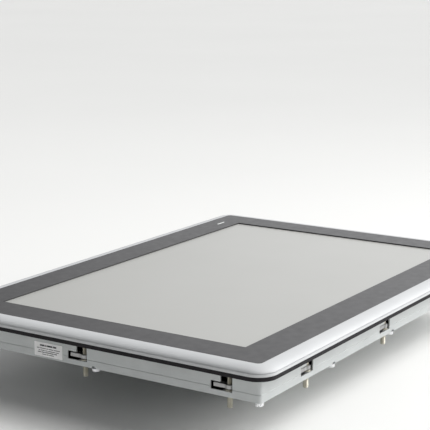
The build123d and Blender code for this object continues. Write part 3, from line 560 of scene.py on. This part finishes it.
def clamp_screw(node, station):
    """The clamp's screw: socket in its rear end, collar on the bearing, thread on both sides."""
    low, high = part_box(node)
    middle = (low + high) / 2
    collar = (high.x - low.x) / 2
    collar_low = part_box("clamp_bearings")[1].z + COLLAR_CLEARANCE
    collar_high = collar_low + COLLAR_HEIGHT
    socket = hexagon(CLAMP_SOCKET_RADIUS)
    core = M4_RADIUS - M4_DEPTH
    rings = [
        (socket, low.z + CLAMP_SOCKET_DEPTH),
        (socket, low.z),
        (core, low.z),
        *thread_rings(low.z + CLAMP_PLAIN_END, collar_low - CLAMP_PLAIN_END),
        (core, collar_low),
        (collar - COLLAR_EDGE, collar_low),
        (collar, collar_low + COLLAR_EDGE),
        (collar, collar_high - COLLAR_EDGE),
        (collar - COLLAR_EDGE, collar_high),
        (core, collar_high),
        *thread_rings(collar_high + CLAMP_PLAIN_END, high.z - CLAMP_PLAIN_END),
        (core, high.z),
    ]
    mesh = bmesh.new()
    add_turned(mesh, rings, Matrix.Translation((middle.x, middle.y, 0.0)))
    zinc = materials["yellow_zinc"]
    piece = mesh_object(f"clamp_thread_{station}", mesh, zinc, f"screw_{station}")
    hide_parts(node)


def earth_stud():
    """The earth stud with its thread and the hexagonal head inside the housing."""
    low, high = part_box("earth_stud")
    middle = (low + high) / 2
    length = high.y - low.y
    head = length - STUD_HEAD_HEIGHT
    hexagonal = hexagon(STUD_HEAD_RADIUS)
    rings = [
        (M4_RADIUS - M4_DEPTH, 0.0),
        *thread_rings(STUD_PLAIN_END, STUD_THREAD_END),
        (STUD_SHANK_RADIUS, STUD_THREAD_END + STUD_RUN_OUT),
        (STUD_SHANK_RADIUS, head),
        (hexagonal, head),
        (hexagonal, length),
    ]
    mesh = bmesh.new()
    placing = Matrix.Translation((middle.x, low.y, middle.z)) @ Matrix.Rotation(-TURN / 4, 4, "X")
    add_turned(mesh, rings, placing)
    piece = mesh_object("earth_thread", mesh, materials["bright_zinc"], "chassis")
    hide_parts("earth_stud")


def network_contacts():
    """Sprung gold contacts and lamps of the two network sockets."""
    low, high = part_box("network_sockets")
    wires = bmesh.new()
    lamps = {"green": bmesh.new(), "amber": bmesh.new()}
    for centre in (low.x + NETWORK_HALF_WIDTH, high.x - NETWORK_HALF_WIDTH):
        for number in range(NETWORK_WIRES):
            x = centre + (number - (NETWORK_WIRES - 1) / 2) * NETWORK_PITCH
            ends = (
                Vector((x + side * WIRE_HALF_WIDTH, low.y + depth, high.z - drop))
                for side, depth, drop in zip((-1, 1), WIRE_DEPTHS, WIRE_DROPS)
            )
            add_block(wires, *ends, WIRE_EDGE, WIRE_TILT)
        for side, lamp in zip((-1, 1), lamps.values()):
            x = centre + side * LAMP_OFFSET - LAMP_SIZE.x / 2
            corner = Vector((x, low.y - LAMP_PROUD, high.z - LAMP_DROP))
            add_block(lamp, corner, corner + LAMP_SIZE, LAMP_EDGE)
    gold = materials["contact_gold"]
    mesh_object("network_contacts", wires, gold, "chassis")
    for colour, lamp in lamps.items():
        lit = materials[f"lamp_{colour}"]
        mesh_object(f"network_lamps_{colour}", lamp, lit, "chassis")


def usb_contacts():
    """Flat gold contacts under the tongues of the serial bus sockets."""
    low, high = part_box("usb_sockets")
    tongue = high.z - USB_TONGUE_DROP
    mesh = bmesh.new()
    for centre in (low.x + USB_HALF_WIDTH, high.x - USB_HALF_WIDTH):
        for number in range(USB_CONTACTS):
            x = centre + (number - (USB_CONTACTS - 1) / 2) * USB_PITCH - USB_CONTACT_SIZE.x / 2
            corner = Vector((x, low.y + USB_CONTACT_DEPTH, tongue - USB_CONTACT_PROUD))
            add_block(mesh, corner, corner + USB_CONTACT_SIZE, USB_CONTACT_EDGE)
    mesh_object("usb_contacts", mesh, materials["contact_gold"], "chassis")


def print_rows(name, corner, across, down):
    """Ink bars on a label. across and down are its sides, from the corner where reading starts."""
    outward = across.cross(down).normalized() * -1.0
    lift = outward * (INK_DEPTH / 2)
    mesh = bmesh.new()
    for start, depth, height, lengths in LABEL_ROWS:
        place = start
        for length in lengths:
            middle = corner + across * (place + length / 2) + down * depth + lift
            sides = Matrix((across * length, down * height, outward * INK_DEPTH)).transposed()
            placing = Matrix.Translation(middle) @ sides.to_4x4()
            bmesh.ops.create_cube(mesh, size=1.0, matrix=placing)
            place += length + WORD_GAP
    mesh_object(name, mesh, materials["label_ink"], "chassis")


def type_label_print():
    """Ink bars on the small label on the left wall."""
    low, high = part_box("type_label")
    corner = Vector((low.x, high.y, high.z))
    across = Vector((0.0, low.y - high.y, 0.0))
    down = Vector((0.0, 0.0, low.z - high.z))
    print_rows("type_label_print", corner, across, down)


def rating_plate():
    """Printed plate on the rear cover, beside the electronics housing."""
    cover_low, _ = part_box("rear_cover")
    low = Vector((*(PLATE_CENTRE - PLATE_HALF), cover_low.z - PLATE_THICKNESS))
    high = Vector((*(PLATE_CENTRE + PLATE_HALF), cover_low.z))
    mesh = bmesh.new()
    add_block(mesh, low, high, PLATE_EDGE)
    mesh_object("rating_plate", mesh, materials["label_film"], "chassis")
    corner = Vector((high.x, high.y, low.z))
    across = Vector((-2 * PLATE_HALF.x, 0.0, 0.0))
    down = Vector((0.0, -2 * PLATE_HALF.y, 0.0))
    print_rows("rating_plate_print", corner, across, down)


# ================================ Studio ==================================================


def floor():
    """A plain pale floor that reaches past the picture on every side."""
    mesh = bmesh.new()
    bmesh.ops.create_grid(mesh, x_segments=2, y_segments=2, size=FLOOR_HALF_SIDE)
    data = bpy.data.meshes.new("floor")
    mesh.to_mesh(data)
    mesh.free()
    data.materials.append(materials["studio_floor"])
    piece = bpy.data.objects.new("floor", data)
    bpy.context.scene.collection.objects.link(piece)


def heading_vector(heading, height=0.0):
    """Unit vector towards a heading and a height above the floor."""
    level = math.cos(height)
    return Vector((math.sin(heading) * level, -math.cos(heading) * level, math.sin(height)))


def place_light(data, towards_light, distance=0.0):
    """Puts a light that far off in that direction, shining back at the panel."""
    data.color = LIGHT_TINT
    light = bpy.data.objects.new(data.name, data)
    light.location = towards_light * distance
    light.rotation_mode = "QUATERNION"
    light.rotation_quaternion = towards_light.to_track_quat("Z", "Y")
    bpy.context.scene.collection.objects.link(light)


def key_light():
    """A broad soft key from the lower edge's side."""
    data = bpy.data.lights.new("key", "SUN")
    data.energy = SUN_STRENGTH
    data.angle = SUN_SOFTNESS
    place_light(data, heading_vector(SUN_HEADING, SUN_HEIGHT))


def soft_box():
    """A weaker soft box nearer the panel, beyond its lower right corner."""
    data = bpy.data.lights.new("soft_box", "AREA")
    data.shape = "DISK"
    data.size = BOX_SIZE
    data.energy = BOX_POWER
    place_light(data, heading_vector(BOX_HEADING, BOX_HEIGHT), BOX_DISTANCE)


def surround():
    """Surround that lights from beyond the right edge, and is evenly pale where it is seen."""
    world = bpy.data.worlds.new("surround")
    world.use_nodes = True
    tree = world.node_tree
    background = tree.nodes["Background"]
    set_input(tree, background.inputs["Color"], SKY_TINT)
    towards = tree.nodes.new("ShaderNodeVectorMath")
    towards.operation = "DOT_PRODUCT"
    towards.inputs[1].default_value = heading_vector(SKY_HEADING)
    place = tree.nodes.new("ShaderNodeTexCoord").outputs["Generated"]
    tree.links.new(place, towards.inputs[0])
    turn = tree.nodes.new("ShaderNodeMapRange")
    turn.interpolation_type = "SMOOTHSTEP"
    turn.inputs["From Min"].default_value, turn.inputs["From Max"].default_value = SKY_TURN
    turn.inputs["To Min"].default_value = SKY_DIM
    turn.inputs["To Max"].default_value = SKY_BRIGHT
    tree.links.new(towards.outputs["Value"], turn.inputs["Value"])
    seen = tree.nodes.new("ShaderNodeMix")
    rays = tree.nodes.new("ShaderNodeLightPath")
    tree.links.new(rays.outputs["Is Camera Ray"], seen.inputs["Factor"])
    for socket, value in zip(MIX_NUMBERS, (turn.outputs["Result"], SKY_SEEN)):
        set_input(tree, seen.inputs[socket], value)
    tree.links.new(seen.outputs[MIX_NUMBER_RESULT], background.inputs["Strength"])
    bpy.context.scene.world = world
    bpy.context.scene.view_settings.view_transform = "Standard"


def camera():
    """The camera at the photograph's viewing angle."""
    data = bpy.data.cameras.new("camera")
    data.lens = CAMERA_LENS
    data.sensor_width = SENSOR_WIDTH
    data.clip_start = CLIP_START
    data.clip_end = CLIP_END
    made = bpy.data.objects.new("camera", data)
    level = math.cos(CAMERA_TILT)
    forward = Vector(
        (
            math.sin(CAMERA_HEADING) * level,
            math.cos(CAMERA_HEADING) * level,
            -math.sin(CAMERA_TILT),
        )
    )
    made.location = CAMERA_PLACE
    made.rotation_mode = "QUATERNION"
    made.rotation_quaternion = forward.to_track_quat("-Z", "Y")
    bpy.context.scene.collection.objects.link(made)
    bpy.context.scene.camera = made


camera()
dress_cad_nodes()
for node_name in sorted(frame["nodes"]):
    if node_name.startswith("clamp_screw_"):
        clamp_screw(node_name, node_name.removeprefix("clamp_screw_"))
earth_stud()
network_contacts()
usb_contacts()
type_label_print()
rating_plate()
floor()
key_light()
soft_box()
surround()
